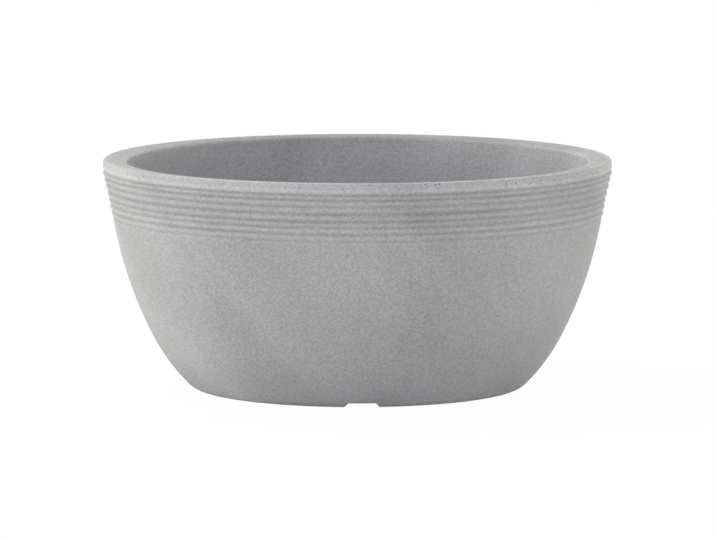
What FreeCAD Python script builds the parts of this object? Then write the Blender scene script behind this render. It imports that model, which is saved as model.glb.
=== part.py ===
import FreeCAD, Part
import math
import os

import Sketcher

# A wide stone-look flower pot. The foot stands on the XY plane, Z is up and a drain notch faces -Y.

# Driving sizes in millimetres and degrees. A lean is an angle from the vertical.
SIZES = {
    # Outside of the bowl, from the lip down to the foot
    "rim_radius": 166.0,
    "pot_height": 150.0,
    "lip_rounding": 2.5,
    "lip_band": 5.0,
    "wall_lean": 11.9,
    "upper_flank_radius": 261.5,
    "flank_turn_lean": 27.8,
    "lower_flank_radius": 120.0,
    "base_turn_lean": 45.4,
    "base_corner_radius": 11.7,
    "rounding_steps": 3,
    # Inside of the bowl, from the rim down to the floor
    "rim_width": 15.5,
    "rim_slope": 6.2,
    "rim_inner_bevel": 1.8,
    "inner_wall_depth": 52.0,
    "inner_wall_lean": 3.0,
    "inner_flank_lean": 20.0,
    "inner_base_height": 29.0,
    "inner_base_lean": 37.0,
    "floor_thickness": 9.0,
    # Ribbed band under the lip, with ribs of uneven width
    "band_drop": 7.5,
    "rib_width_1": 3.5,
    "rib_width_2": 4.4,
    "rib_width_3": 4.8,
    "rib_width_4": 4.8,
    "rib_width_5": 3.8,
    "rib_width_6": 4.5,
    "rib_width_7": 4.3,
    "groove_depth": 1.0,
    "crest_depth": 0.1,
    "band_overrun": 0.15,
    # Foot ring and its drain notches
    "foot_recess": 6.0,
    "foot_ring_width": 14.0,
    "notch_count": 4,
    "notch_height": 3.2,
    "notch_top_width": 17.4,
    "notch_side_run": 2.9,
    # Drain holes in the floor
    "drain_count": 4,
    "drain_radius": 8.0,
    "drain_inset": 26.0,
    "drain_turn": 45.0,
    # Drainage grid
    "grid_thickness": 3.0,
    "grid_clearance": 1.5,
    "leg_count": 4,
    "leg_height": 22.0,
    "leg_radius": 7.0,
    "leg_inset": 44.0,
    "grid_rib_width": 2.4,
    "grid_rib_depth": 5.0,
    "slot_width": 3.0,
    "inner_slot_count": 12,
    "inner_slot_start": 20.0,
    "inner_slot_length": 28.0,
    "slot_gap": 10.0,
    "outer_slot_count": 24,
    "slot_edge_margin": 14.0,
    # Drain plugs
    "plug_clearance": 0.05,
    "plug_flange_lap": 3.0,
    "plug_flange_thickness": 2.0,
    "plug_stand": 3.0,
    "tab_length": 12.0,
    "tab_thickness": 3.0,
    "tab_ground_gap": 1.0,
}

UP = FreeCAD.Vector(0, 0, 1)
ORIGIN = (-1, 1)
H_AXIS, V_AXIS = range(-1, -3, -1)
START, END, CENTRE = range(1, 4)
FULL_TURN = 360
LEAST_CUT = 1e-3

FLOOR_TOP = "(Sizes.foot_recess + Sizes.floor_thickness)"
INNER_FLANK_HEIGHT = (
    f"(Sizes.pot_height - Sizes.inner_wall_depth - {FLOOR_TOP} - Sizes.inner_base_height)"
)
MOUTH_RADIUS = "(Sizes.rim_radius - Sizes.rim_width)"
RIM_START = "(Sizes.rim_radius - Sizes.lip_rounding)"
BAND_FOOT = "(Sizes.pot_height - Sizes.lip_rounding - Sizes.lip_band)"
# The rim slopes down to its inner edge, where it meets the leaning inner wall.
RIM_TAN = "tan(Sizes.rim_slope)"
LEAN_SHARE = f"({RIM_TAN} * tan(Sizes.inner_wall_lean))"
RIM_EDGE_RADIUS = f"(({MOUTH_RADIUS} - {RIM_START} * {LEAN_SHARE}) / (1 - {LEAN_SHARE}))"
RIM_EDGE_HEIGHT = f"(Sizes.pot_height - ({RIM_START} - {RIM_EDGE_RADIUS}) * {RIM_TAN})"
INNER_WALL_FOOT = f"({MOUTH_RADIUS} - Sizes.inner_wall_depth * tan(Sizes.inner_wall_lean))"
INNER_FLANK_FOOT = f"({INNER_WALL_FOOT} - {INNER_FLANK_HEIGHT} * tan(Sizes.inner_flank_lean))"
FLOOR_RADIUS = f"({INNER_FLANK_FOOT} - Sizes.inner_base_height * tan(Sizes.inner_base_lean))"


def make_sheet(doc):
    """Writes the driving sizes to a sheet, one per row, each with its name as alias."""
    sheet = doc.addObject("Spreadsheet::Sheet", "Sizes")
    for row, (name, value) in enumerate(SIZES.items(), start=1):
        sheet.set(f"A{row}", name)
        sheet.set(f"B{row}", str(value))
        sheet.setAlias(f"B{row}", name)
    doc.recompute()
    return sheet


def origin_feature(body, role):
    return next(f for f in body.Origin.OriginFeatures if f.Role == role)


def new_body(doc, label):
    body = doc.addObject("PartDesign::Body", label)
    body.Label = label
    return body


def new_sketch(body, name, plane):
    sketch = body.newObject("Sketcher::SketchObject", name)
    sketch.AttachmentSupport = [(origin_feature(body, plane), "")]
    sketch.MapMode = "FlatFace"
    return sketch


def dimension(sketch, expression, kind, *where):
    """Adds a dimension whose value follows an expression of the sheet's sizes."""
    value = float(sketch.evalExpression(expression))
    start = math.radians(value) if kind == "Angle" else value
    index = sketch.addConstraint(Sketcher.Constraint(kind, *where, start))
    sketch.setExpression(f"Constraints[{index}]", expression)


def reference(sketch, name, kind, *where):
    """Adds a named measure that other sketches read."""
    index = sketch.addConstraint(Sketcher.Constraint(kind, *where, 1.0))
    sketch.setDriving(index, False)
    sketch.renameConstraint(index, name)


def place_point(sketch, x, y, line, end):
    """Fixes one end of a line by expressions for its two coordinates."""
    for expression, kind, axis in ((x, "DistanceX", V_AXIS), (y, "DistanceY", H_AXIS)):
        if expression == "0":
            sketch.addConstraint(Sketcher.Constraint("PointOnObject", line, end, axis))
        else:
            dimension(sketch, expression, kind, *ORIGIN, line, end)


def outline(sketch, corners):
    """Draws a closed outline of straight lines through corners given as pairs of expressions."""
    points = [
        FreeCAD.Vector(float(sketch.evalExpression(x)), float(sketch.evalExpression(y)), 0)
        for x, y in corners
    ]
    ends = points[1:] + points[:1]
    lines = [sketch.addGeometry(Part.LineSegment(a, b)) for a, b in zip(points, ends)]
    for line, following in zip(lines, lines[1:] + lines[:1]):
        sketch.addConstraint(Sketcher.Constraint("Coincident", line, END, following, START))
    for line, (x, y) in zip(lines, corners):
        place_point(sketch, x, y, line, START)


def circle(sketch, x, y, radius):
    """Draws a circle whose centre and radius are expressions."""
    centre = FreeCAD.Vector(float(sketch.evalExpression(x)), float(sketch.evalExpression(y)), 0)
    ring = sketch.addGeometry(Part.Circle(centre, UP, float(sketch.evalExpression(radius))))
    place_point(sketch, x, y, ring, CENTRE)
    dimension(sketch, radius, "Radius", ring)


def outward(lean):
    """Direction out of a wall that leans by an angle from the vertical, in a profile's plane."""
    return FreeCAD.Vector(math.cos(math.radians(lean)), -math.sin(math.radians(lean)), 0)


def draw_arc(sketch, start, radius, lean_below, lean_above):
    """Adds an arc that rises from a point while its lean turns from one angle to another."""
    centre = start - radius * outward(lean_below)
    ring = Part.Circle(centre, UP, radius)
    arc = Part.ArcOfCircle(ring, -math.radians(lean_below), -math.radians(lean_above))
    return sketch.addGeometry(arc), centre + radius * outward(lean_above)


def rounded_corner(sheet, centre_x, centre_y, radius, start, end):
    """Corners of a small rounding made of flats, as expressions, from one angle to another."""
    steps = int(sheet.get("rounding_steps"))
    corners = []
    for step in range(steps + 1):
        angle = f"({start} + ({end} - ({start})) * {step} / Sizes.rounding_steps)"
        corners.append((f"{centre_x} + {radius} * cos({angle})", f"{centre_y} + {radius} * sin({angle})"))
    return corners


def revolve(body, kind, name, sketch):
    feature = body.newObject(kind, name)
    feature.Profile = sketch
    feature.ReferenceAxis = (sketch, ["V_Axis"])
    feature.Angle = FULL_TURN
    return feature


def cut_through(body, name, sketch):
    """Cuts a sketch's outline away, on the side that its plane faces."""
    feature = body.newObject("PartDesign::Pocket", name)
    feature.Profile = sketch
    feature.Type = "ThroughAll"
    feature.Reversed = True
    return feature


def pad(body, name, sketch, length, downward=False):
    feature = body.newObject("PartDesign::Pad", name)
    feature.Profile = sketch
    feature.setExpression("Length", length)
    feature.Reversed = downward
    return feature


def repeat(body, name, feature, count):
    """Repeats a feature evenly round the pot's axis."""
    pattern = body.newObject("PartDesign::PolarPattern", name)
    pattern.Originals = [feature]
    pattern.Axis = (origin_feature(body, "Z_Axis"), [""])
    pattern.Angle = FULL_TURN
    pattern.setExpression("Occurrences", count)
    body.Tip = pattern
    return pattern


def draw_outside(body, sheet):
    """Half section of the solid pot: foot ring, curved flank, wall, lip and dished top."""
    sketch = new_sketch(body, "OutsideProfile", "XZ_Plane")

    def corner(x, y):
        return FreeCAD.Vector(float(sketch.evalExpression(x)), float(sketch.evalExpression(y)), 0)

    lip_places = [("Sizes.rim_radius", BAND_FOOT)]
    lip_places += rounded_corner(
        sheet,
        RIM_START,
        "(Sizes.pot_height - Sizes.lip_rounding)",
        "Sizes.lip_rounding",
        "0",
        "90",
    )
    lip = [corner(*place) for place in lip_places]
    dish = f"Sizes.pot_height - {RIM_START} * {RIM_TAN}"
    # Tangent arcs rise from the level foot to the lean of the wall.
    turns = (
        ("base_corner_radius", 90.0, sheet.get("base_turn_lean")),
        ("lower_flank_radius", sheet.get("base_turn_lean"), sheet.get("flank_turn_lean")),
        ("upper_flank_radius", sheet.get("flank_turn_lean"), sheet.get("wall_lean")),
    )
    rise = FreeCAD.Vector(0, 0, 0)
    for radius, below, above in turns:
        rise += sheet.get(radius) * (outward(above) - outward(below))
    wall_run = (lip[0].y - rise.y) * math.tan(math.radians(sheet.get("wall_lean")))
    foot = FreeCAD.Vector(lip[0].x - wall_run - rise.x, 0, 0)
    point = foot
    arcs = []
    for radius, below, above in turns:
        arc, point = draw_arc(sketch, point, sheet.get(radius), below, above)
        dimension(sketch, f"Sizes.{radius}", "Radius", arc)
        arcs.append(arc)
    inner_edge = foot - FreeCAD.Vector(sheet.get("foot_ring_width"), 0, 0)
    ceiling_edge = inner_edge + FreeCAD.Vector(0, sheet.get("foot_recess"), 0)
    path = [point, *lip, corner("0", dish), corner("0", "Sizes.foot_recess")]
    path += [ceiling_edge, inner_edge, foot]
    lines = [sketch.addGeometry(Part.LineSegment(a, b)) for a, b in zip(path, path[1:])]
    wall, (axis, ceiling, recess_wall, contact) = lines[0], lines[-4:]
    for before, after in zip([contact] + arcs, arcs + [wall]):
        sketch.addConstraint(Sketcher.Constraint("Tangent", before, END, after, START))
    for before, after in zip(lines, lines[1:]):
        sketch.addConstraint(Sketcher.Constraint("Coincident", before, END, after, START))
    for line, place in zip(lines, lip_places):
        place_point(sketch, *place, line, END)
    place_point(sketch, "0", dish, axis, START)
    place_point(sketch, "0", "Sizes.foot_recess", axis, END)
    for level in (ceiling, contact):
        sketch.addConstraint(Sketcher.Constraint("Horizontal", level))
    sketch.addConstraint(Sketcher.Constraint("Vertical", recess_wall))
    sketch.addConstraint(Sketcher.Constraint("PointOnObject", contact, START, H_AXIS))
    dimension(sketch, "90 - Sizes.base_turn_lean", "Angle", arcs[0])
    dimension(sketch, "Sizes.base_turn_lean - Sizes.flank_turn_lean", "Angle", arcs[1])
    dimension(sketch, "90 - Sizes.wall_lean", "Angle", wall)
    dimension(sketch, "Sizes.foot_ring_width", "DistanceX", contact, START, contact, END)
    reference(sketch, "recess_radius", "DistanceX", *ORIGIN, contact, START)
    return sketch


def draw_cavity(body):
    """Half section of the planting space, in three leaning stretches up to the bevelled rim."""
    sketch = new_sketch(body, "CavityProfile", "XZ_Plane")

    def bevel(sign, lean_across, lean_up):
        """An end of the bevel, along one of the two faces that meet at the rim's inner edge."""
        across = f"{RIM_EDGE_RADIUS} {sign} Sizes.rim_inner_bevel * {lean_across}"
        return across, f"{RIM_EDGE_HEIGHT} {sign} Sizes.rim_inner_bevel * {lean_up}"

    bevel_top = bevel("+", "cos(Sizes.rim_slope)", "sin(Sizes.rim_slope)")
    corners = (
        ("0", FLOOR_TOP),
        (FLOOR_RADIUS, FLOOR_TOP),
        (INNER_FLANK_FOOT, f"{FLOOR_TOP} + Sizes.inner_base_height"),
        (INNER_WALL_FOOT, "Sizes.pot_height - Sizes.inner_wall_depth"),
        bevel("-", "sin(Sizes.inner_wall_lean)", "cos(Sizes.inner_wall_lean)"),
        bevel_top,
        (bevel_top[0], "Sizes.pot_height"),
        ("0", "Sizes.pot_height"),
    )
    outline(sketch, corners)
    return sketch


def draw_band(body):
    """Section cut away by the ribbed band: a row of V grooves down the straight wall, a rib apart."""
    sketch = new_sketch(body, "BandProfile", "XZ_Plane")

    def place(drop, out):
        """A point so far down from the top, and so far out of the wall."""
        below_lip = f"({drop} - Sizes.lip_rounding - Sizes.lip_band)"
        wall_radius = f"Sizes.rim_radius - {below_lip} * tan(Sizes.wall_lean)"
        across = f"{wall_radius} + {out} * cos(Sizes.wall_lean)"
        return across, f"Sizes.pot_height - ({drop}) - {out} * sin(Sizes.wall_lean)"

    ribs = [f"Sizes.{name}" for name in SIZES if name.startswith("rib_width")]
    groove = "Sizes.band_drop"
    corners = [place(f"{groove} - {ribs[0]} / 2", "Sizes.band_overrun")]
    corners.append(place(groove, "-Sizes.groove_depth"))
    for rib in ribs:
        corners.append(place(f"{groove} + {rib} / 2", "-Sizes.crest_depth"))
        groove = f"{groove} + {rib}"
        corners.append(place(groove, "-Sizes.groove_depth"))
    corners.append(place(f"{groove} + {ribs[-1]} / 2", "Sizes.band_overrun"))
    outline(sketch, corners)
    return sketch


def draw_notch(body):
    """Outline of a drain notch: level top and sloping sides."""
    sketch = new_sketch(body, "NotchOutline", "XZ_Plane")
    top = "(Sizes.notch_top_width / 2)"
    bottom = "(Sizes.notch_top_width / 2 + Sizes.notch_side_run)"
    corners = (
        (f"-{bottom}", "0"),
        (bottom, "0"),
        (top, "Sizes.notch_height"),
        (f"-{top}", "Sizes.notch_height"),
    )
    outline(sketch, corners)
    return sketch


def drain_centre(turn):
    """Expressions for the place of a drain hole at an angle round the pot's axis."""
    radius = "(OutsideProfile.Constraints.recess_radius / 1 mm - Sizes.drain_inset)"
    return f"{radius} * cos({turn})", f"{radius} * sin({turn})"


def make_bowl(doc, sheet):
    """The moulded pot."""
    body = new_body(doc, "bowl")
    revolve(body, "PartDesign::Revolution", "PotSolid", draw_outside(body, sheet))
    revolve(body, "PartDesign::Groove", "Cavity", draw_cavity(body))
    revolve(body, "PartDesign::Groove", "RibbedBand", draw_band(body))
    notch = cut_through(body, "DrainNotch", draw_notch(body))
    repeat(body, "DrainNotches", notch, "Sizes.notch_count")
    hole_outline = new_sketch(body, "DrainHoleOutline", "XY_Plane")
    circle(hole_outline, *drain_centre("Sizes.drain_turn"), "Sizes.drain_radius")
    hole = cut_through(body, "DrainHole", hole_outline)
    repeat(body, "DrainHoles", hole, "Sizes.drain_count")
    return body


def draw_bar(body, name, start, end, width):
    """Outline of a straight bar along X."""
    sketch = new_sketch(body, name, "XY_Plane")
    side = f"({width} / 2)"
    outline(sketch, ((start, f"-{side}"), (end, f"-{side}"), (end, side), (start, side)))
    return sketch


def cut_slots(body, name, start, end, count):
    """Cuts a ring of radial slots, half a step away from the legs and ribs."""
    sketch = draw_bar(body, f"{name}Outline", start, end, "Sizes.slot_width")
    sketch.AttachmentOffset = FreeCAD.Placement(FreeCAD.Vector(), FreeCAD.Rotation(UP, 1))
    sketch.setExpression("AttachmentOffset.Rotation.Angle", f"180 deg / {count}")
    repeat(body, name, cut_through(body, f"{name}First", sketch), count)


def make_grid(doc):
    """The loose slotted disc on its legs, drawn from the level of its underside."""
    body = new_body(doc, "drainage_grid")
    # The grid's edge comes nearest to the wall at the level of its underside.
    wall_radius = f"({FLOOR_RADIUS} + Sizes.leg_height * tan(Sizes.inner_base_lean))"
    radius = f"({wall_radius} - Sizes.grid_clearance)"
    leg_radius = f"({radius} - Sizes.leg_inset)"
    plate = new_sketch(body, "GridOutline", "XY_Plane")
    circle(plate, "0", "0", radius)
    pad(body, "GridPlate", plate, "Sizes.grid_thickness")
    rib = draw_bar(body, "GridRibOutline", "0", leg_radius, "Sizes.grid_rib_width")
    rib_pad = pad(body, "GridRib", rib, "Sizes.grid_rib_depth", downward=True)
    repeat(body, "GridRibs", rib_pad, "Sizes.leg_count")
    leg = new_sketch(body, "LegOutline", "XY_Plane")
    circle(leg, leg_radius, "0", "Sizes.leg_radius")
    leg_pad = pad(body, "Leg", leg, "Sizes.leg_height", downward=True)
    repeat(body, "Legs", leg_pad, "Sizes.leg_count")
    middle = new_sketch(body, "MiddleLegOutline", "XY_Plane")
    circle(middle, "0", "0", "Sizes.leg_radius")
    pad(body, "MiddleLeg", middle, "Sizes.leg_height", downward=True)
    inner_end = "Sizes.inner_slot_start + Sizes.inner_slot_length"
    cut_slots(body, "InnerSlots", "Sizes.inner_slot_start", inner_end, "Sizes.inner_slot_count")
    outer_start = f"{inner_end} + Sizes.slot_gap"
    outer_end = f"{radius} - Sizes.slot_edge_margin"
    cut_slots(body, "OuterSlots", outer_start, outer_end, "Sizes.outer_slot_count")
    body.setExpression("Placement.Base.z", f"{FLOOR_TOP} + Sizes.leg_height")
    return body


def make_plug(doc, number):
    """A bung pushed up into one drain hole, drawn from the level of the recessed underside."""
    body = new_body(doc, f"drain_plug_{number + 1}")
    flange = "(Sizes.drain_radius + Sizes.plug_flange_lap)"
    barrel = "(Sizes.drain_radius - Sizes.plug_clearance)"
    length = "(Sizes.floor_thickness + Sizes.plug_stand)"
    profile = new_sketch(body, f"PlugProfile{number + 1}", "XZ_Plane")
    corners = (
        ("0", "-Sizes.plug_flange_thickness"),
        (flange, "-Sizes.plug_flange_thickness"),
        (flange, "0"),
        (barrel, "0"),
        (barrel, length),
        ("0", length),
    )
    outline(profile, corners)
    revolve(body, "PartDesign::Revolution", f"PlugBody{number + 1}", profile)
    half_tab = "(Sizes.tab_length / 2)"
    tab = draw_bar(body, f"TabOutline{number + 1}", f"-{half_tab}", half_tab, "Sizes.tab_thickness")
    tab.setExpression("AttachmentOffset.Base.z", "-Sizes.plug_flange_thickness")
    tab_height = "Sizes.foot_recess - Sizes.plug_flange_thickness - Sizes.tab_ground_gap"
    pad(body, f"PullTab{number + 1}", tab, tab_height, downward=True)
    turn = f"(Sizes.drain_turn + {number} * {FULL_TURN} / Sizes.drain_count)"
    x, y = drain_centre(turn)
    body.Placement = FreeCAD.Placement(FreeCAD.Vector(), FreeCAD.Rotation(UP, 1))
    body.setExpression("Placement.Rotation.Angle", f"{turn} * 1 deg")
    body.setExpression("Placement.Base.x", x)
    body.setExpression("Placement.Base.y", y)
    body.setExpression("Placement.Base.z", "Sizes.foot_recess")
    return body


def check(doc, bodies):
    """Stops if a feature failed, a cut removed nothing or a piece isn't one valid solid."""
    failed = [o.Name for o in doc.Objects if {"Invalid", "Error"} & set(o.State)]
    if failed:
        raise RuntimeError(f"failed: {failed}")
    for feature in doc.Objects:
        if feature.TypeId in ("PartDesign::Pocket", "PartDesign::Groove"):
            removed = feature.BaseFeature.Shape.Volume - feature.Shape.Volume
            if removed < LEAST_CUT:
                raise RuntimeError(f"{feature.Name} cuts nothing")
    for body in bodies:
        shape = body.Shape
        if shape.isNull() or not shape.isValid() or len(shape.Solids) != 1:
            raise RuntimeError(f"{body.Label} isn't one valid solid")


def main():
    doc = FreeCAD.newDocument("flower_pot")
    sheet = make_sheet(doc)
    bodies = [make_bowl(doc, sheet), make_grid(doc)]
    bodies += [make_plug(doc, number) for number in range(int(sheet.get("drain_count")))]
    doc.recompute()
    check(doc, bodies)
    os.makedirs("parts", exist_ok=True)
    for body in bodies:
        body.Shape.exportStep(f"parts/{body.Label}.step")
        print(body.Label, round(body.Shape.Volume / 1000, 2), "cm3")


main()
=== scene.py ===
import math

import bmesh
import bpy
import numpy as np
from mathutils import Matrix, Vector


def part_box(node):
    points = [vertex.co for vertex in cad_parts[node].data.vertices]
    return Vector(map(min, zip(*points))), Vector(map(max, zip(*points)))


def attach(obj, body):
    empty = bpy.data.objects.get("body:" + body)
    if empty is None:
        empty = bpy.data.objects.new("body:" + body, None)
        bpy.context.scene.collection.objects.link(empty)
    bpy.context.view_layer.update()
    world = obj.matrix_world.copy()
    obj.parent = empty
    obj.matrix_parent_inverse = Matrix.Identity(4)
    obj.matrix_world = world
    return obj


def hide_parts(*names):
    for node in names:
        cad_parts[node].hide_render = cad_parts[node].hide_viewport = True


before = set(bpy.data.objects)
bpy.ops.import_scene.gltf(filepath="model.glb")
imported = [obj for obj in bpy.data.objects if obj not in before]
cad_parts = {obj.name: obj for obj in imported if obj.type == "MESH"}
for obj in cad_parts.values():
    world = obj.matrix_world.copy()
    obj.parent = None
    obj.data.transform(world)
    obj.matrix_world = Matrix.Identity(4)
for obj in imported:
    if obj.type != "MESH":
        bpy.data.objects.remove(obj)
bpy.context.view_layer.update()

# A wide stone-look flower pot, dressed around its solids. Lengths are in metres.

MM = 0.001

# A right angle and a full circle in radians, and a full turn in degrees
LEVEL = math.radians(90.0)
FULL_CIRCLE = 2 * math.pi
FULL_TURN = 360.0

# Tolerances for picking out and welding vertices
SLACK = MM / 2
FLOOR_SLACK = MM / 10
WELD_DISTANCE = MM / 1000

# Outside of the bowl, from the lip down to the foot. A lean is an angle from the vertical.
RIM_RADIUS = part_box("bowl")[1].x
POT_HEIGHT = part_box("bowl")[1].z
LIP_ROUNDING = 2.5 * MM
LIP_BAND = 5.0 * MM
WALL_LEAN = math.radians(11.9)
UPPER_FLANK_RADIUS = 261.5 * MM
FLANK_TURN_LEAN = math.radians(27.8)
LOWER_FLANK_RADIUS = 120.0 * MM
BASE_TURN_LEAN = math.radians(45.4)
BASE_CORNER_RADIUS = 11.7 * MM

# Inside of the bowl
RIM_WIDTH = 15.5 * MM
RIM_SLOPE = math.radians(6.2)
RIM_INNER_ROUNDING = 2.0 * MM
RIM_CROWN = 0.34 * MM
INNER_WALL_DEPTH = 52.0 * MM
INNER_WALL_LEAN = math.radians(3.0)
INNER_FLANK_LEAN = math.radians(20.0)
INNER_BASE_HEIGHT = 29.0 * MM
INNER_BASE_LEAN = math.radians(37.0)
FLOOR_THICKNESS = 9.0 * MM
INNER_BLEND = 90.0 * MM
FLOOR_BLEND = 12.0 * MM

# Ribbed band under the lip: uneven ribs, out of or below the plain wall, between uneven grooves
BAND_DROP = 7.5 * MM
RIB_WIDTHS = [width * MM for width in (3.5, 4.4, 4.8, 4.8, 3.8, 4.5, 4.3)]
GROOVE_DEPTHS = [depth * MM for depth in (1.0, 0.85, 0.75, 0.95, 0.9, 0.75, 0.75, 0.45)]
RIB_LEVELS = [level * MM for level in (0.25, 0.15, 0.05, 0.1, 0.0, 0.3, 0.25)]
LIP_DIP_START = 1.2 * MM
LIP_DIP_DROP = 2.8 * MM
LIP_DIP = 0.3 * MM
LIP_CREST_DROP = 5.0 * MM
BAND_TAIL = 2.2 * MM
BAND_END = BAND_DROP + sum(RIB_WIDTHS) + BAND_TAIL
BAND_REACH = 0.7 * RIM_WIDTH
RIB_WAVER = 0.12
RIB_SWAY = 0.12 * MM
WAVE_COUNTS = (3, 5, 8, 13)

# Paler lip band, and painted highlights, painted light and painted shade on the lip, rim and ribs, as
# changes of the stone's lightness
LIP_PALENESS = 0.2
# Painted highlight: a thin pale line along the lip's top edge, weaker on the pot's sides
LIP_TOP_PAINTED_HIGHLIGHT = 0.5
LIP_TOP_SIDE_LOSS = 0.6
LIP_TOP_FADE = 0.5 * MM
# Painted highlight along the lip's crest, just over the first groove
LIP_CREST_PAINTED_HIGHLIGHT = 0.09
LIP_CREST_FADE = 1.8 * MM
LIP_FADE = 2.4 * MM
# Painted light on the rim's two sides, a little more on one than the other, and painted shade on its front
# and back
RIM_SIDE_PAINTED_LIGHT = 0.3
RIM_SIDE_BALANCE = 0.3
RIM_SIDE_BIAS = 0.16
# Painted highlight: a pale line along the rim's inner edge, on the pot's sides
INNER_EDGE_PAINTED_HIGHLIGHT = 0.14
INNER_EDGE_INSET = 1.0 * MM
INNER_EDGE_FADE = 1.6 * MM
RIM_FADE = 1.2 * MM
# Painted light on the rib crests and painted shade in the grooves, by how far the surface stands out
RIB_PAINTED_LIGHT = 0.06
RIB_PAINTED_SHADE_CONTRAST = 0.24 / MM

# Foot ring and its drain notches
FOOT_RECESS = 6.0 * MM
FOOT_RING_WIDTH = 14.0 * MM
FOOT_EDGE_ROUNDING = 1.0 * MM
NOTCH_COUNT = 4
NOTCH_HEIGHT = 3.2 * MM
NOTCH_TOP_WIDTH = 17.4 * MM
NOTCH_SIDE_RUN = 2.9 * MM
NOTCH_SOFTNESS = 0.5 * MM

# Drain holes
DRAIN_COUNT = 4
DRAIN_RADIUS = 8.0 * MM
DRAIN_INSET = 26.0 * MM
DRAIN_TURN = math.radians(45.0)
DRAIN_CHAMFER = 0.8 * MM

# Drainage grid
GRID_THICKNESS = 3.0 * MM
GRID_BEVEL = 0.45 * MM
LEG_COUNT = 4
LEG_INSET = 44.0 * MM
LEG_RADIUS = 7.0 * MM
LEG_TAPER = 0.6 * MM
LEG_ROUNDING = 1.2 * MM
GRID_RIB_WIDTH = 2.4 * MM
GRID_RIB_DEPTH = 5.0 * MM
SLOT_WIDTH = 3.0 * MM
INNER_SLOT_COUNT = 12
INNER_SLOT_START = 20.0 * MM
INNER_SLOT_LENGTH = 28.0 * MM
SLOT_GAP = 10.0 * MM
OUTER_SLOT_COUNT = 24
SLOT_EDGE_MARGIN = 14.0 * MM

# Drain plugs
PLUG_CLEARANCE = 0.05 * MM
PLUG_FLANGE_LAP = 3.0 * MM
PLUG_FLANGE_THICKNESS = 2.0 * MM
PLUG_STAND = 3.0 * MM
PLUG_WAIST = 0.5 * MM
PLUG_RIB_COUNT = 3
PLUG_CREST_SHARE = 0.7
PLUG_ROOT_SHARE = 0.5
TAB_LENGTH = 12.0 * MM
TAB_THICKNESS = 3.0 * MM
TAB_GROUND_GAP = 1.0 * MM
EDGE_SOFTNESS = 0.6 * MM

# Spun meshes: angles in degrees between columns, which are closer together at the drain notches
COLUMN_STEP = 1.2
NOTCH_COLUMN_STEP = 0.4
NOTCH_ZONE = 9.0
DRAIN_COLUMN_STEP = 7.5
LEG_COLUMN_STEP = 10.0
FLOOR_COLUMN_STEP = 5.0

# Spacing and counts of the points along profiles and outlines, steps of bevels and sides of faces
BAND_STEP = 0.45 * MM
LIP_STEPS = 9
WALL_STEPS = 3
UPPER_FLANK_STEPS = 12
LOWER_FLANK_STEPS = 9
BASE_CORNER_STEPS = 10
GRID_EDGE_POINTS = 180
SLOT_CAP_POINTS = 9
BAR_BEVEL_SEGMENTS = 3
PLATE_BEVEL_STEPS = 2
MOST_FACE_SIDES = 4

# Angles in degrees from which an edge is shaded sharp
BOWL_SHARP_ANGLE = 40.0
GRID_SHARP_ANGLE = 12.0
PLUG_SHARP_ANGLE = 35.0

# Stone look
STONE_COLOR = (0.402, 0.402, 0.406, 1.0)
# A bluer copy of the stone colour for the inside under the rim: painted shade
INSIDE_SHADED_COLOR = (0.407, 0.411, 0.434, 1.0)
INSIDE_DROP = 3.5 * MM
CLOUD_TWIST = 3.53
CLOUD_STRETCH = (1.0, 1.0, 0.5)
CLOUD_OFFSET = (1.07, 2.91, 2.79)
CLOUD_SCALE = 15.0
CLOUD_DETAIL = 3.0
CLOUD_ROUGHNESS = 0.45
CLOUD_DISTORTION = 0.3
CLOUD_CONTRAST = 0.24
GRAIN_SCALE = 1100.0
GRAIN_CONTRAST = 0.15
GRAIN_DEPTH = 0.2 * MM
GRAIN_BUMP = 0.25
# Small pits in the lip, painted as dark specks of painted shade, left out where the lip is paler
PIT_SCALE = 170.0
PIT_RADIUS = 0.6 * MM
PIT_SHADE = 0.42
PIT_PALENESS_LIMIT = 0.1
STONE_ROUGHNESS = 0.75
STONE_SPECULAR = 0.2

# Dark plastic and rubber
GRID_SHADE = 0.05
RUBBER_SHADE = 0.03
DARK_CONTRAST = 0.2
DARK_ROUGHNESS = 0.55
DARK_GRAIN_SCALE = 900.0
DARK_GRAIN_DETAIL = 2.0
DARK_GRAIN_ROUGHNESS = 0.6
DARK_GRAIN_DEPTH = 0.2 * MM
DARK_GRAIN_BUMP = 0.3

# Soft lamps round the pot: name, azimuth from the camera's side and elevation in degrees, distance and
# size, power, color
FAR = (2.0, 1.2)
NEAR = (0.65, 0.5)
WARM = (1.0, 0.985, 0.93)
COOL = (0.98, 0.985, 1.0)
LAMPS = (
    ("left_high", -140.0, 55.0, FAR, 14.1, WARM),
    ("left", -100.0, 15.0, FAR, 29.5, WARM),
    ("left_front", -60.0, 12.0, FAR, 2.8, COOL),
    ("front_left", -25.0, 30.0, FAR, 8.4, COOL),
    ("front", 0.0, 10.0, FAR, 5.0, COOL),
    ("front_right", 25.0, 30.0, FAR, 10.6, COOL),
    ("right_near", 85.0, 10.0, NEAR, 0.6, WARM),
    ("right", 115.0, 8.0, FAR, 13.3, WARM),
    ("right_back", 140.0, 15.0, FAR, 6.2, WARM),
    ("back", 165.0, 25.0, FAR, 7.5, WARM),
)

# Pale floor and backdrop
WHITE = (1.0, 1.0, 1.0, 1.0)
SOFT_WORLD = 0.02
FLOOR_RADIUS = 1.2
FLOOR_GLOW = 0.94
FLOOR_GLOW_STRENGTH = 1.018
FLOOR_COLOR = (0.84, 0.845, 0.865, 1.0)

# Camera, fitted to the photograph's rim ellipse and outline
IMAGE_WIDTH = 716
SENSOR_WIDTH = 36.0
FOCAL_PIXELS = 6752.0
CAMERA_DISTANCE = 4.414
CAMERA_ELEVATION = math.radians(6.67)
CAMERA_TURN = math.radians(-1.65)
CAMERA_TARGET = Vector((0.0, 0.0, 0.0763))
AXIS_PIXEL = 357.38


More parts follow.
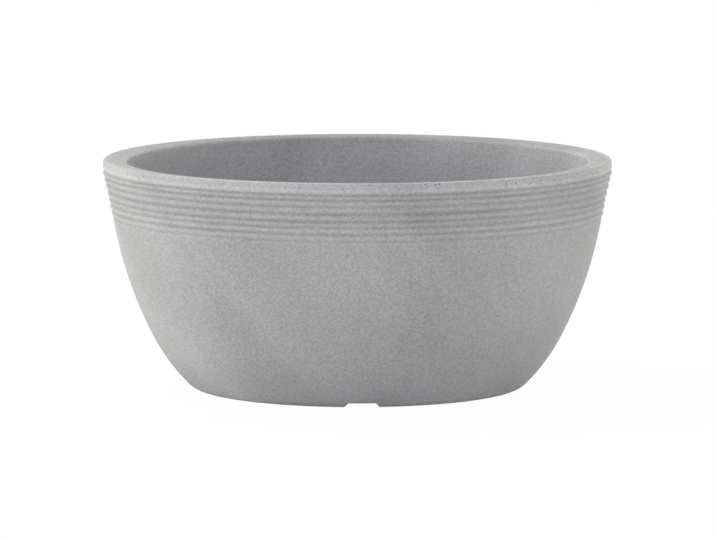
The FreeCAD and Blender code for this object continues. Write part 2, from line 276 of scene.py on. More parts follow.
def outward(lean):
    """Direction out of a wall that leans by an angle, in a profile's plane of radius and height."""
    return np.array((math.cos(lean), -math.sin(lean)))


def line(start, end, count):
    """Points from a start, left out, to an end."""
    steps = np.linspace(0.0, 1.0, count + 1)[1:, None]
    return np.asarray(start) + steps * (np.asarray(end) - np.asarray(start))


def arc_down(start, radius, lean_above, lean_below, count):
    """Points of an arc that goes down from a point, left out, as its lean turns."""
    centre = start - radius * outward(lean_above)
    leans = np.linspace(lean_above, lean_below, count + 1)[1:]
    return np.array([centre + radius * outward(lean) for lean in leans])


def rounded_path(corners, arc_steps, run_steps):
    """Points along straight runs whose corners, given as radius, height and rounding, are rounded."""
    places = [np.array(corner[:2]) for corner in corners]
    path = [places[0][None]]
    for index in range(1, len(corners)):
        corner = places[index]
        rounding = corners[index][2]
        if not rounding:
            path.append(line(path[-1][-1], corner, run_steps))
            continue
        back = places[index - 1] - corner
        ahead = places[index + 1] - corner
        back /= np.linalg.norm(back)
        ahead /= np.linalg.norm(ahead)
        half = math.acos(float(back @ ahead)) / 2
        middle = back + ahead
        centre = corner + middle / np.linalg.norm(middle) * rounding / math.sin(half)
        begin = corner + back * rounding / math.tan(half)
        finish = corner + ahead * rounding / math.tan(half)
        path.append(line(path[-1][-1], begin, run_steps))
        first = math.atan2(begin[1] - centre[1], begin[0] - centre[0])
        last = math.atan2(finish[1] - centre[1], finish[0] - centre[0])
        turn = (last - first + math.pi) % FULL_CIRCLE - math.pi
        angles = first + turn * np.linspace(0.0, 1.0, arc_steps + 1)[1:]
        path.append(centre + rounding * np.stack([np.cos(angles), np.sin(angles)], 1))
    return np.concatenate(path)


def floor_top():
    """Height of the bowl's floor inside."""
    return FOOT_RECESS + FLOOR_THICKNESS


def lip_point(angle):
    """Point of the rounded lip at an angle up from the level."""
    centre = np.array((RIM_RADIUS - LIP_ROUNDING, POT_HEIGHT - LIP_ROUNDING))
    return centre + LIP_ROUNDING * np.array((math.cos(angle), math.sin(angle)))


def inside_profile():
    """Half section of the inside as points of radius and height, from the floor's middle to the lip."""
    mouth = RIM_RADIUS - RIM_WIDTH
    rim_start = RIM_RADIUS - LIP_ROUNDING
    lean_share = math.tan(RIM_SLOPE) * math.tan(INNER_WALL_LEAN)
    edge_radius = (mouth - rim_start * lean_share) / (1 - lean_share)
    edge_height = POT_HEIGHT - (rim_start - edge_radius) * math.tan(RIM_SLOPE)
    wall_foot = mouth - INNER_WALL_DEPTH * math.tan(INNER_WALL_LEAN)
    flank_height = POT_HEIGHT - INNER_WALL_DEPTH - floor_top() - INNER_BASE_HEIGHT
    flank_foot = wall_foot - flank_height * math.tan(INNER_FLANK_LEAN)
    floor_radius = flank_foot - INNER_BASE_HEIGHT * math.tan(INNER_BASE_LEAN)
    lip_start = lip_point(LEVEL + RIM_SLOPE)
    corners = (
        (0.0, floor_top(), 0.0),
        (floor_radius, floor_top(), FLOOR_BLEND),
        (flank_foot, floor_top() + INNER_BASE_HEIGHT, INNER_BLEND),
        (wall_foot, POT_HEIGHT - INNER_WALL_DEPTH, INNER_BLEND),
        (edge_radius, edge_height, RIM_INNER_ROUNDING),
        (*lip_start, 0.0),
    )
    path = rounded_path(corners, arc_steps=7, run_steps=5)
    share = np.clip((path[:, 0] - edge_radius) / (lip_start[0] - edge_radius), 0.0, 1.0)
    path[:, 1] += np.where(path[:, 1] > edge_height, 4 * RIM_CROWN * share * (1 - share), 0.0)
    return path


def outside_profile():
    """Half section of the plain outside, from the lip down to the edge of the foot."""
    lip_angles = np.linspace(LEVEL + RIM_SLOPE, 0.0, LIP_STEPS + 1)[1:]
    lip = np.array([lip_point(angle) for angle in lip_angles])
    band_foot = lip[-1] - np.array((0.0, LIP_BAND))
    turns = (
        (UPPER_FLANK_RADIUS, WALL_LEAN, FLANK_TURN_LEAN, UPPER_FLANK_STEPS),
        (LOWER_FLANK_RADIUS, FLANK_TURN_LEAN, BASE_TURN_LEAN, LOWER_FLANK_STEPS),
        (BASE_CORNER_RADIUS, BASE_TURN_LEAN, LEVEL, BASE_CORNER_STEPS),
    )
    rise = sum(radius * (outward(above) - outward(below)) for radius, above, below, _ in turns)
    fall = np.array((math.tan(WALL_LEAN), 1.0))
    ribs_end = band_foot - (sum(RIB_WIDTHS) + BAND_TAIL) * fall
    wall_end = band_foot - (band_foot[1] - rise[1]) * fall
    path = [lip]
    for end in (band_foot, ribs_end):
        start = path[-1][-1]
        path.append(line(start, end, round((start[1] - end[1]) / BAND_STEP)))
    path.append(line(ribs_end, wall_end, WALL_STEPS))
    for radius, above, below, count in turns:
        path.append(arc_down(path[-1][-1], radius, above, below, count))
    return np.concatenate(path)


def under_profile(foot_radius):
    """Half section of the underside, from the edge of the foot to the middle of the recess."""
    recess_radius = foot_radius - FOOT_RING_WIDTH
    corners = (
        (foot_radius, 0.0, 0.0),
        (recess_radius, 0.0, FOOT_EDGE_ROUNDING),
        (recess_radius, FOOT_RECESS, FOOT_EDGE_ROUNDING),
        (0.0, FOOT_RECESS, 0.0),
    )
    return rounded_path(corners, arc_steps=4, run_steps=2)[1:], recess_radius


def waves(angle, seed):
    """A slow seeded wander from -1 to 1 or so round the pot."""
    draw = np.random.default_rng(seed)
    total = np.zeros_like(angle)
    for count, phase in zip(WAVE_COUNTS, draw.uniform(0.0, FULL_CIRCLE, len(WAVE_COUNTS))):
        total += np.sin(count * angle + phase)
    return total / 2


def relief(drop, angle):
    """How far the ribbed outside stands out of the plain one, at a drop from the top and an angle."""
    places = [LIP_DIP_START, LIP_DIP_DROP, LIP_CREST_DROP, BAND_DROP]
    levels = [0.0, -LIP_DIP, 0.0, -GROOVE_DEPTHS[0]]
    for width, level, depth in zip(RIB_WIDTHS, RIB_LEVELS, GROOVE_DEPTHS[1:]):
        places += [places[-1] + width / 2, places[-1] + width]
        levels += [level, -depth]
    places = np.array(places + [places[-1] + BAND_TAIL])
    levels = np.array(levels + [0.0])
    index = np.clip(np.searchsorted(places, drop) - 1, 0, len(places) - 2)
    wandering = np.array([waves(angle, seed) for seed in range(len(places))])
    wandering *= ((places > LIP_CREST_DROP) & (places < places[-1]))[:, None]
    shifted = places[:, None] + RIB_SWAY * wandering
    scaled = levels[:, None] * (1 + RIB_WAVER * wandering)
    column = np.arange(len(angle))
    begin, end = shifted[index, column], shifted[index + 1, column]
    share = np.clip((drop - begin) / (end - begin), 0.0, 1.0)
    ease = (1 - np.cos(math.pi * share)) / 2
    return scaled[index, column] * (1 - ease) + scaled[index + 1, column] * ease


def carve_band(points):
    """Carves the ribs and grooves into the plain outside."""
    radius = np.hypot(points[:, 0], points[:, 1])
    drop = POT_HEIGHT - points[:, 2]
    outside = (radius > RIM_RADIUS - BAND_REACH) & (drop > LIP_DIP_START) & (drop < BAND_END)
    angle = np.arctan2(points[outside, 1], points[outside, 0])
    new_radius = radius[outside] + relief(drop[outside], angle)
    points[outside, 0] = new_radius * np.cos(angle)
    points[outside, 1] = new_radius * np.sin(angle)


def column_angles():
    """Angles of the bowl's columns, closer together at the notches."""
    angles = []
    quarter = FULL_TURN / NOTCH_COUNT
    for notch in range(NOTCH_COUNT):
        middle = notch * quarter
        fine = round(2 * NOTCH_ZONE / NOTCH_COLUMN_STEP)
        coarse = round((quarter - 2 * NOTCH_ZONE) / COLUMN_STEP)
        angles += list(np.linspace(middle - NOTCH_ZONE, middle + NOTCH_ZONE, fine, endpoint=False))
        start = middle + NOTCH_ZONE
        angles += list(np.linspace(start, start + quarter - 2 * NOTCH_ZONE, coarse, endpoint=False))
    return np.radians(angles)


def notch_height(points):
    """Height of the drain notch over each point: a trapezium across each axis of the foot."""
    step = FULL_CIRCLE / NOTCH_COUNT
    angle = np.arctan2(points[:, 1], points[:, 0])
    beside = angle - step * np.round(angle / step)
    radius = np.hypot(points[:, 0], points[:, 1])
    across = np.abs(radius * np.sin(beside))
    share = np.clip((NOTCH_TOP_WIDTH / 2 + NOTCH_SIDE_RUN - across) / NOTCH_SIDE_RUN, 0.0, 1.0)
    eased = (share + share * share * (3 - 2 * share)) / 2
    return NOTCH_HEIGHT * eased


def cut_notches(points, recess_radius):
    """Lifts the foot's underside into the drain notches."""
    radius = np.hypot(points[:, 0], points[:, 1])
    height = notch_height(points)
    z = points[:, 2].copy()
    ring = (radius > recess_radius - SLACK) & (z < FOOT_RECESS)
    edge = ring & (radius < recess_radius + FOOT_EDGE_ROUNDING)
    sole = ring & ~edge
    rounding = NOTCH_SOFTNESS * height / NOTCH_HEIGHT
    lifted = (z + height + np.sqrt((z - height) ** 2 + rounding**2)) / 2
    points[sole, 2] = lifted[sole]
    points[edge, 2] = (height + (1 - height / FOOT_RECESS) * z)[edge]


def paleness_and_painted_light(points):
    """How much lighter than the plain wall each point is.

    The lip band is paler. Over it come painted highlights along the lip's top edge, its crest and the rim's
    inner edge, painted light on the rim's two sides, a little more on one than the other, with painted
    shade on its front and back, and painted light on the rib crests with painted shade in the grooves.
    """
    radius = np.hypot(points[:, 0], points[:, 1])
    drop = POT_HEIGHT - points[:, 2]
    across = points[:, 0] / np.maximum(radius, MM)
    side = across**2 * (1 - RIM_SIDE_BIAS * across)
    # Painted highlight along the lip's top edge
    lip_top_painted_highlight = LIP_TOP_PAINTED_HIGHLIGHT * (1 - LIP_TOP_SIDE_LOSS * side)
    lip = LIP_PALENESS + lip_top_painted_highlight * np.clip(1 - drop / LIP_TOP_FADE, 0.0, 1.0)
    lip *= np.clip(2 * (BAND_DROP - drop) / LIP_FADE, 0.0, 1.0)
    lip_share = np.clip(1 - (RIM_RADIUS - LIP_ROUNDING - radius) / LIP_FADE, 0.0, 1.0)
    lip *= lip_share
    # Painted highlight along the lip's crest
    lip += LIP_CREST_PAINTED_HIGHLIGHT * np.clip(1 - np.abs(drop - LIP_CREST_DROP) / LIP_CREST_FADE, 0.0, 1.0)
    from_edge = np.abs(radius - (RIM_RADIUS - RIM_WIDTH + INNER_EDGE_INSET))
    # Painted light on the rim's sides and painted shade on its front and back
    rim = RIM_SIDE_PAINTED_LIGHT * (side - RIM_SIDE_BALANCE) * (1 - lip_share)
    # Painted highlight along the rim's inner edge
    rim += INNER_EDGE_PAINTED_HIGHLIGHT * side * np.clip(1 - from_edge / INNER_EDGE_FADE, 0.0, 1.0)
    rim *= np.clip((INSIDE_DROP - drop) / RIM_FADE, 0.0, 1.0)
    on_rim = radius > RIM_RADIUS - RIM_WIDTH - SLACK
    stands_out = relief(drop, np.arctan2(points[:, 1], points[:, 0]))
    in_band = (drop > LIP_DIP_START) & (drop < BAND_END)
    # Painted light on the ribs and painted shade in the grooves
    ribs = np.where(drop > LIP_CREST_DROP, RIB_PAINTED_LIGHT, 0.0) + RIB_PAINTED_SHADE_CONTRAST * stands_out
    outside = radius > RIM_RADIUS - BAND_REACH
    pale_and_painted_light = np.where(outside & in_band, ribs, 0.0) + np.where(outside, lip, 0.0)
    return pale_and_painted_light + np.where(on_rim, rim, 0.0)


def inside_share(points):
    """1 for the points of the bowl's inside under the rim, 0 for the others."""
    profile = inside_profile()
    reach = np.interp(points[:, 2], profile[:, 1], profile[:, 0])
    inside = np.hypot(points[:, 0], points[:, 1]) < reach + SLACK
    inside &= (points[:, 2] > floor_top() - FLOOR_SLACK) & (points[:, 2] < POT_HEIGHT - INSIDE_DROP)
    return np.where(inside, 1.0, 0.0)


def spin(profile, angles):
    """Vertices and faces of a profile, which starts and ends on the axis, spun round it."""
    ring_count = len(profile) - 2
    columns = len(angles)
    rings = profile[1:-1]
    x = rings[:, :1] * np.cos(angles)
    y = rings[:, :1] * np.sin(angles)
    z = np.repeat(rings[:, 1:], columns, 1)
    points = np.stack([x, y, z], 2).reshape(-1, 3)
    top = np.array([[0.0, 0.0, profile[0, 1]]])
    bottom = np.array([[0.0, 0.0, profile[-1, 1]]])
    first = np.arange(columns)
    following = np.roll(first, -1)
    base = columns * np.arange(ring_count - 1)[:, None]
    corners = [base + first, base + columns + first, base + columns + following, base + following]
    faces = np.stack(corners, 2).reshape(-1, 4).tolist()
    top_index = len(points)
    last = columns * (ring_count - 1)
    faces += [[top_index, a, b] for a, b in zip(first.tolist(), following.tolist())]
    faces += [[top_index + 1, last + b, last + a] for a, b in zip(first.tolist(), following.tolist())]
    return np.concatenate([points, top, bottom]), faces


def new_object(name, data):
    """A mesh, lamp or camera put into the scene."""
    holder = bpy.data.objects.new(name, data)
    bpy.context.scene.collection.objects.link(holder)
    return holder


def new_mesh_object(name, points, faces):
    """A smooth mesh in the scene, from vertices and faces."""
    mesh = bpy.data.meshes.new(name)
    mesh.from_pydata(points.tolist(), [], faces)
    mesh.validate()
    mesh.shade_smooth()
    return new_object(name, mesh)


def combine(base, tool, operation):
    """Joins a piece with another mesh, or cuts that out of it. The other one is used up."""
    change = base.modifiers.new("combine", "BOOLEAN")
    change.operation = operation
    change.solver = "EXACT"
    change.object = tool
    bpy.context.view_layer.update()
    evaluated = base.evaluated_get(bpy.context.evaluated_depsgraph_get())
    mesh = bpy.data.meshes.new_from_object(evaluated)
    base.modifiers.clear()
    old = base.data
    base.data = mesh
    bpy.data.meshes.remove(old)
    bpy.data.objects.remove(tool)


def spun_solid(name, profile, x, y, step):
    """A turned solid about an upright axis, from a profile that starts at the axis on top."""
    points, faces = spin(profile, np.radians(np.arange(0.0, FULL_TURN, step)))
    return new_mesh_object(name, points + np.array((x, y, 0.0)), faces)


def drain_place(number, recess_radius):
    """Middle of a drain hole, and its turn round the pot."""
    turn = DRAIN_TURN + number * FULL_CIRCLE / DRAIN_COUNT
    place = recess_radius - DRAIN_INSET
    return place * math.cos(turn), place * math.sin(turn), turn


def cut_drains(bowl, recess_radius):
    """Cuts the drain holes, with chamfered mouths, through the bowl's floor."""
    flare = DRAIN_RADIUS + 2 * DRAIN_CHAMFER
    spool = np.array(
        (
            (0.0, floor_top() + DRAIN_CHAMFER),
            (flare, floor_top() + DRAIN_CHAMFER),
            (DRAIN_RADIUS, floor_top() - DRAIN_CHAMFER),
            (DRAIN_RADIUS, FOOT_RECESS + DRAIN_CHAMFER),
            (flare, FOOT_RECESS - DRAIN_CHAMFER),
            (0.0, FOOT_RECESS - DRAIN_CHAMFER),
        )
    )
    for number in range(DRAIN_COUNT):
        x, y, _ = drain_place(number, recess_radius)
        combine(bowl, spun_solid("drain_cutter", spool, x, y, DRAIN_COLUMN_STEP), "DIFFERENCE")


def split_faces(piece):
    """Splits the many-sided faces that joining and cutting leave, and drops slivers."""
    work = bmesh.new()
    work.from_mesh(piece.data)
    many_sided = [face for face in work.faces if len(face.verts) > MOST_FACE_SIDES]
    bmesh.ops.triangulate(work, faces=many_sided, quad_method="BEAUTY", ngon_method="BEAUTY")
    bmesh.ops.dissolve_degenerate(work, dist=WELD_DISTANCE, edges=work.edges)
    work.to_mesh(piece.data)
    work.free()


def dress(piece, material, sharp_angle, body, node):
    """Gives a piece its shading and material, hangs it under its body, and hides the solid that it stands
    for.
    """
    split_faces(piece)
    piece.data.shade_smooth()
    piece.data.set_sharp_from_angle(angle=math.radians(sharp_angle))
    piece.data.materials.clear()
    piece.data.materials.append(material)
    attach(piece, body)
    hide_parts(node)


def make_bowl(material):
    """The moulded pot. Gives the radius of the recess under its foot."""
    outside = outside_profile()
    under, recess_radius = under_profile(outside[-1, 0])
    profile = np.concatenate([inside_profile(), outside, under])
    points, faces = spin(profile, column_angles())
    carve_band(points)
    cut_notches(points, recess_radius)
    bowl = new_mesh_object("stone_bowl", points, faces)
    cut_drains(bowl, recess_radius)
    places = np.array([vertex.co for vertex in bowl.data.vertices])
    for name, values in (("paleness_and_painted_light", paleness_and_painted_light(places)), ("inside", inside_share(places))):
        layer = bowl.data.attributes.new(name, "FLOAT", "POINT")
        layer.data.foreach_set("value", values)
    dress(bowl, material, BOWL_SHARP_ANGLE, "pot", "bowl")
    return recess_radius


def rounded_bar(name, length, width, bottom, top, centre, turn):
    """A bar with softened edges, turned about the upright."""
    bar = bmesh.new()
    bmesh.ops.create_cube(bar, size=1.0)
    bmesh.ops.scale(bar, vec=(length, width, top - bottom), verts=bar.verts)
    bmesh.ops.bevel(
        bar, geom=bar.edges, offset=EDGE_SOFTNESS, segments=BAR_BEVEL_SEGMENTS, profile=0.5, affect="EDGES"
    )
    bmesh.ops.translate(bar, vec=(centre, 0.0, (top + bottom) / 2), verts=bar.verts)
    bmesh.ops.rotate(bar, matrix=Matrix.Rotation(turn, 3, "Z"), verts=bar.verts)
    mesh = bpy.data.meshes.new(name)
    bar.to_mesh(mesh)
    bar.free()
    return new_object(name, mesh)


def slot_outline(start, end, turn):
    """Points round a radial slot with round ends."""
    radius = SLOT_WIDTH / 2
    half_turn = np.linspace(-LEVEL, LEVEL, SLOT_CAP_POINTS)
    cap = radius * np.stack([np.cos(half_turn), np.sin(half_turn)], 1)
    outline = np.concatenate([cap + (end - radius, 0.0), -cap + (start + radius, 0.0)])
    cos, sin = math.cos(turn), math.sin(turn)
    return outline @ np.array(((cos, sin), (-sin, cos)))


def bevelled_plate(name, outlines, bottom, top, bevel):
    """A plate with softened edges inside the first outline, with the other ones cut out."""
    curve = bpy.data.curves.new(name, "CURVE")
    curve.dimensions = "2D"
    curve.fill_mode = "BOTH"
    curve.extrude = (top - bottom) / 2 - bevel
    curve.bevel_depth = bevel
    curve.bevel_resolution = PLATE_BEVEL_STEPS
    curve.offset = -bevel
    for outline in outlines:
        spline = curve.splines.new("POLY")
        spline.points.add(len(outline) - 1)
        for point, (x, y) in zip(spline.points, outline):
            point.co = (x, y, 0.0, 1.0)
        spline.use_cyclic_u = True
    holder = bpy.data.objects.new(name, curve)
    mesh = bpy.data.meshes.new_from_object(holder)
    bpy.data.objects.remove(holder)
    bpy.data.curves.remove(curve)
    work = bmesh.new()
    work.from_mesh(mesh)
    bmesh.ops.remove_doubles(work, verts=work.verts, dist=WELD_DISTANCE)
    bmesh.ops.recalc_face_normals(work, faces=work.faces)
    bmesh.ops.translate(work, vec=(0.0, 0.0, (top + bottom) / 2), verts=work.verts)
    work.to_mesh(mesh)
    work.free()
    return new_object(name, mesh)


def make_grid(material):
    """The loose slotted disc with its ribs and legs."""
    corner_low, corner_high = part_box("drainage_grid")
    radius, bottom, top = corner_high.x, corner_low.z, corner_high.z
    plate_bottom = top - GRID_THICKNESS
    around = np.linspace(0.0, FULL_CIRCLE, GRID_EDGE_POINTS, endpoint=False)
    outlines = [radius * np.stack([np.cos(around), np.sin(around)], 1)]
    inner_end = INNER_SLOT_START + INNER_SLOT_LENGTH
    rings = (
        (INNER_SLOT_START, inner_end, INNER_SLOT_COUNT),
        (inner_end + SLOT_GAP, radius - SLOT_EDGE_MARGIN, OUTER_SLOT_COUNT),
    )
    for start, end, count in rings:
        step = FULL_CIRCLE / count
        outlines += [slot_outline(start, end, (number + 0.5) * step) for number in range(count)]
    grid = bevelled_plate("drainage_disc", outlines, plate_bottom, top, GRID_BEVEL)
    root = (top + plate_bottom) / 2
    leg_corners = (
        (0.0, root, 0.0),
        (LEG_RADIUS, root, 0.0),
        (LEG_RADIUS - LEG_TAPER, bottom, LEG_ROUNDING),
        (0.0, bottom, 0.0),
    )
    leg = rounded_path(leg_corners, arc_steps=5, run_steps=1)
    leg_place = radius - LEG_INSET
    combine(grid, spun_solid("leg", leg, 0.0, 0.0, LEG_COLUMN_STEP), "UNION")
    for number in range(LEG_COUNT):
        turn = number * FULL_CIRCLE / LEG_COUNT
        rib_bottom = plate_bottom - GRID_RIB_DEPTH
        rib = rounded_bar("rib", leg_place, GRID_RIB_WIDTH, rib_bottom, root, leg_place / 2, turn)
        combine(grid, rib, "UNION")
        place = leg_place * np.array((math.cos(turn), math.sin(turn)))
        combine(grid, spun_solid("leg", leg, *place, LEG_COLUMN_STEP), "UNION")
    dress(grid, material, GRID_SHARP_ANGLE, "grid", "drainage_grid")


def plug_profile():
    """Half section of a plug, from the middle of its tip: sealing ribs, then the flange."""
    tip = floor_top() + PLUG_STAND
    barrel = DRAIN_RADIUS - PLUG_CLEARANCE
    waist = barrel - PLUG_WAIST
    flange = DRAIN_RADIUS + PLUG_FLANGE_LAP
    flange_bottom = FOOT_RECESS - PLUG_FLANGE_THICKNESS
    pitch = (tip - FOOT_RECESS) / (PLUG_RIB_COUNT + PLUG_ROOT_SHARE)
    corners = [(0.0, tip, 0.0), (waist - PLUG_WAIST, tip, EDGE_SOFTNESS)]
    for number in range(PLUG_RIB_COUNT):
        crest = tip - (number + PLUG_CREST_SHARE) * pitch
        corners.append((barrel, crest, PLUG_WAIST / 2))
        corners.append((waist, crest - (1 - PLUG_CREST_SHARE) * pitch, PLUG_WAIST / 4))
    corners.append((waist, FOOT_RECESS, PLUG_WAIST / 2))
    corners.append((flange, FOOT_RECESS, EDGE_SOFTNESS))
    corners.append((flange, flange_bottom, EDGE_SOFTNESS))
    corners.append((0.0, flange_bottom, 0.0))
    return rounded_path(corners, arc_steps=4, run_steps=1)


def make_plug(number, material, recess_radius):
    """A rubber bung pushed up into one drain hole, with its pull tab."""
    x, y, turn = drain_place(number, recess_radius)
    plug = spun_solid(f"rubber_plug_{number + 1}", plug_profile(), x, y, DRAIN_COLUMN_STEP)
    tab_top = FOOT_RECESS - PLUG_FLANGE_THICKNESS / 2
    centre = recess_radius - DRAIN_INSET
    tab = rounded_bar("tab", TAB_LENGTH, TAB_THICKNESS, TAB_GROUND_GAP, tab_top, centre, turn)
    combine(plug, tab, "UNION")
    body = f"plug_{number + 1}"
    dress(plug, material, PLUG_SHARP_ANGLE, body, f"drain_plug_{number + 1}")


def new_material(name):
    """An empty node material and its node tree."""
    material = bpy.data.materials.new(name)
    material.use_nodes = True
    tree = material.node_tree
    tree.nodes.clear()
    return material, tree


def feed(tree, socket, value):
    """Sets a socket to a value, or links another node's output to it."""
    if isinstance(value, bpy.types.NodeSocket):
        tree.links.new(value, socket)
    else:
        socket.default_value = value


def add(tree, kind, settings=None, **inputs):
    """Adds a node. An input is a value or another node's output; spaces in its name are underscores."""
    node = tree.nodes.new(kind)
    for name, value in (settings or {}).items():
        setattr(node, name, value)
    for name, value in inputs.items():
        feed(tree, node.inputs[name.replace("_", " ")], value)
    return node


def spread(tree, value, low, high):
    """Maps a value from 0 to 1 onto a range."""
    node = add(tree, "ShaderNodeMapRange", Value=value, From_Min=0.0, From_Max=1.0, To_Min=low, To_Max=high)
    return node.outputs["Result"]


def math_node(tree, operation, first, second):
    """Result of a sum on two values, each a number or another node's output."""
    node = tree.nodes.new("ShaderNodeMath")
    node.operation = operation
    for socket, value in zip(node.inputs, (first, second)):
        feed(tree, socket, value)
    return node.outputs[0]


def mix_colors(tree, blend, share, first, second):
    """Result of blending two colors, each a color or another node's output."""
    node = tree.nodes.new("ShaderNodeMix")
    node.data_type = "RGBA"
    node.blend_type = blend
    sockets = (node.inputs["Factor"], *[socket for socket in node.inputs if socket.type == "RGBA"])
    for socket, value in zip(sockets, (share, first, second)):
        feed(tree, socket, value)
    return next(socket for socket in node.outputs if socket.type == "RGBA")


def stone_material():
    """Cloudy grey plastic with a fine sandy grain, small pits in the lip painted as dark specks of painted
    shade, a paler lip band with painted highlights, painted light and painted shade on the lip, rim and
    ribs, and a bluer inside as painted shade.
    """
    material, tree = new_material("stone_look_plastic")
    place = add(tree, "ShaderNodeTexCoord").outputs["Object"]
    height = add(tree, "ShaderNodeSeparateXYZ", Vector=place).outputs["Z"]
    twist = math_node(tree, "MULTIPLY", height, CLOUD_TWIST)
    twisted = add(
        tree, "ShaderNodeVectorRotate", {"rotation_type": "Z_AXIS"}, Vector=place, Angle=twist
    ).outputs["Vector"]
    streaks = add(
        tree, "ShaderNodeMapping", Vector=twisted, Location=CLOUD_OFFSET, Scale=CLOUD_STRETCH
    ).outputs["Vector"]
    clouds = add(
        tree,
        "ShaderNodeTexNoise",
        Vector=streaks,
        Scale=CLOUD_SCALE,
        Detail=CLOUD_DETAIL,
        Roughness=CLOUD_ROUGHNESS,
        Distortion=CLOUD_DISTORTION,
    ).outputs["Fac"]
    cells = add(tree, "ShaderNodeTexVoronoi", Vector=place, Scale=GRAIN_SCALE)
    grain = add(tree, "ShaderNodeSeparateColor", Color=cells.outputs["Color"]).outputs["Red"]
    pit_cells = add(tree, "ShaderNodeTexVoronoi", Vector=place, Scale=PIT_SCALE).outputs["Distance"]
    solid = math_node(tree, "GREATER_THAN", pit_cells, PIT_RADIUS * PIT_SCALE)
    below_lip = math_node(tree, "LESS_THAN", height, POT_HEIGHT - BAND_DROP)
    # Lightness attribute: the paler lip band with painted highlights, painted light and painted shade
    pale_and_painted_light = add(tree, "ShaderNodeAttribute", {"attribute_name": "paleness_and_painted_light"}).outputs["Fac"]
    # Pits only below the lip or where the surface is not made paler
    not_pale = math_node(tree, "LESS_THAN", pale_and_painted_light, PIT_PALENESS_LIMIT)
    off_lip = math_node(tree, "MAXIMUM", below_lip, not_pale)
    no_pit = math_node(tree, "MAXIMUM", solid, off_lip)
    light = math_node(tree, "ADD", pale_and_painted_light, 1.0)
    light = math_node(tree, "MULTIPLY", light, spread(tree, clouds, 1 - CLOUD_CONTRAST, 1 + CLOUD_CONTRAST))
    light = math_node(tree, "MULTIPLY", light, spread(tree, grain, 1 - GRAIN_CONTRAST, 1 + GRAIN_CONTRAST))
    # Pits painted as dark specks: painted shade
    light = math_node(tree, "MULTIPLY", light, spread(tree, no_pit, PIT_SHADE, 1.0))
    inside = add(tree, "ShaderNodeAttribute", {"attribute_name": "inside"}).outputs["Fac"]
    # The inside takes the bluer copy of the stone colour: painted shade
    tone = mix_colors(tree, "MIX", inside, STONE_COLOR, INSIDE_SHADED_COLOR)
    stone = mix_colors(tree, "MULTIPLY", 1.0, tone, light)
    bump = add(tree, "ShaderNodeBump", Strength=GRAIN_BUMP, Distance=GRAIN_DEPTH, Height=grain)
    shader = add(
        tree,
        "ShaderNodeBsdfPrincipled",
        Base_Color=stone,
        Roughness=STONE_ROUGHNESS,
        Specular_IOR_Level=STONE_SPECULAR,
        Normal=bump.outputs["Normal"],
    )
    add(tree, "ShaderNodeOutputMaterial", Surface=shader.outputs["BSDF"])
    return material


def plain_dark_material(name, level):
    """Dark moulded plastic or rubber with a faint grain."""
    material, tree = new_material(name)
    place = add(tree, "ShaderNodeTexCoord").outputs["Object"]
    grain = add(
        tree,
        "ShaderNodeTexNoise",
        Vector=place,
        Scale=DARK_GRAIN_SCALE,
        Detail=DARK_GRAIN_DETAIL,
        Roughness=DARK_GRAIN_ROUGHNESS,
    ).outputs["Fac"]
    shade = spread(tree, grain, level * (1 - DARK_CONTRAST), level * (1 + DARK_CONTRAST))
    bump = add(tree, "ShaderNodeBump", Strength=DARK_GRAIN_BUMP, Distance=DARK_GRAIN_DEPTH, Height=grain)
    shader = add(
        tree,
        "ShaderNodeBsdfPrincipled",
        Base_Color=shade,
        Roughness=DARK_ROUGHNESS,
        Normal=bump.outputs["Normal"],
    )
    add(tree, "ShaderNodeOutputMaterial", Surface=shader.outputs["BSDF"])
    return material


def seen_directly(tree):
    """1 for rays from the camera, and for those that glossy or clear surfaces send out."""
    path = add(tree, "ShaderNodeLightPath").outputs
    total = math_node(tree, "MAXIMUM", path["Is Camera Ray"], path["Is Glossy Ray"])
    return math_node(tree, "MAXIMUM", total, path["Is Transmission Ray"])


def make_floor():
    """White floor that keeps a faint shadow."""
    around = np.radians(np.arange(0.0, FULL_TURN, FLOOR_COLUMN_STEP))
    edge = FLOOR_RADIUS * np.stack([np.cos(around), np.sin(around), np.zeros_like(around)], 1)
    floor = new_mesh_object("floor", edge, [list(range(len(edge)))])
    material, tree = new_material("floor_white")
    lit = add(tree, "ShaderNodeBsdfDiffuse", Color=FLOOR_COLOR).outputs["BSDF"]
    glow = add(tree, "ShaderNodeEmission", Color=WHITE, Strength=FLOOR_GLOW_STRENGTH).outputs["Emission"]
    share = math_node(tree, "MULTIPLY", seen_directly(tree), FLOOR_GLOW)
    mix = add(tree, "ShaderNodeMixShader", Fac=share)
    tree.links.new(lit, mix.inputs[1])
    tree.links.new(glow, mix.inputs[2])
    add(tree, "ShaderNodeOutputMaterial", Surface=mix.outputs["Shader"])
    floor.data.materials.append(material)


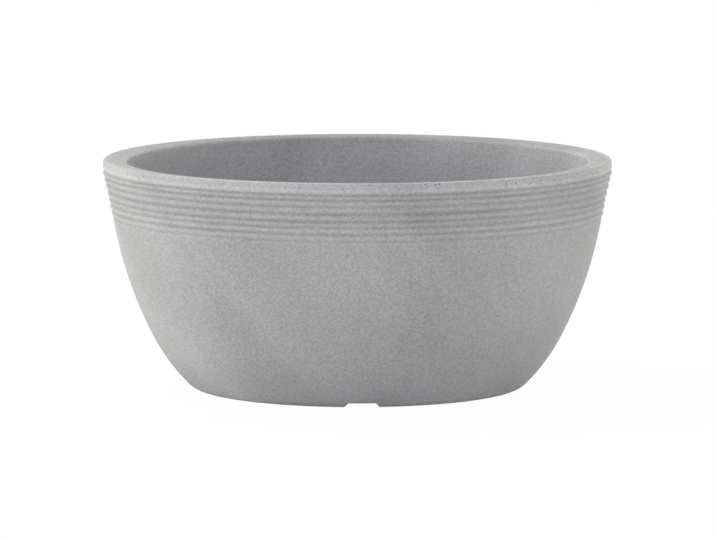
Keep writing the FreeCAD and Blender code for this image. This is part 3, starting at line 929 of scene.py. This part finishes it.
def make_world():
    """White backdrop for the camera, and an even soft light for the object."""
    world = bpy.data.worlds.new("studio")
    bpy.context.scene.world = world
    world.use_nodes = True
    tree = world.node_tree
    tree.nodes.clear()
    soft = add(tree, "ShaderNodeBackground", Color=WHITE, Strength=SOFT_WORLD)
    white = add(tree, "ShaderNodeBackground", Color=WHITE, Strength=1.0)
    mix = add(tree, "ShaderNodeMixShader", Fac=seen_directly(tree))
    tree.links.new(soft.outputs[0], mix.inputs[1])
    tree.links.new(white.outputs[0], mix.inputs[2])
    add(tree, "ShaderNodeOutputWorld", Surface=mix.outputs["Shader"])


def direction(azimuth, elevation):
    """Unit vector from the pot: azimuth 0 is the camera's side, and a positive one is to its right."""
    return Vector(
        (
            math.cos(elevation) * math.sin(azimuth),
            -math.cos(elevation) * math.cos(azimuth),
            math.sin(elevation),
        )
    )


def make_lamp(name, azimuth, elevation, reach, power, color):
    """A soft round lamp that faces the pot and isn't seen itself."""
    distance, size = reach
    lamp = bpy.data.lights.new(name, "AREA")
    lamp.shape = "DISK"
    lamp.size = size
    lamp.energy = power
    lamp.color = color
    holder = new_object(name, lamp)
    towards = direction(math.radians(azimuth), math.radians(elevation))
    holder.location = CAMERA_TARGET + towards * distance
    holder.rotation_euler = towards.to_track_quat("Z", "Y").to_euler()
    holder.visible_camera = False


def make_camera():
    """The camera at the photograph's place, shifted by the pot's place in the frame."""
    camera = bpy.data.cameras.new("camera")
    camera.sensor_width = SENSOR_WIDTH
    camera.lens = FOCAL_PIXELS * SENSOR_WIDTH / IMAGE_WIDTH
    camera.shift_x = (IMAGE_WIDTH / 2 - AXIS_PIXEL) / IMAGE_WIDTH
    holder = new_object("camera", camera)
    towards = direction(CAMERA_TURN, CAMERA_ELEVATION)
    holder.location = CAMERA_TARGET + towards * CAMERA_DISTANCE
    holder.rotation_euler = towards.to_track_quat("Z", "Y").to_euler()
    bpy.context.scene.camera = holder


recess = make_bowl(stone_material())
make_grid(plain_dark_material("dark_plastic", GRID_SHADE))
rubber = plain_dark_material("plug_rubber", RUBBER_SHADE)
for plug_number in range(DRAIN_COUNT):
    make_plug(plug_number, rubber, recess)
make_floor()
make_world()
for lamp_settings in LAMPS:
    make_lamp(*lamp_settings)
make_camera()
bpy.context.scene.view_settings.view_transform = "Standard"
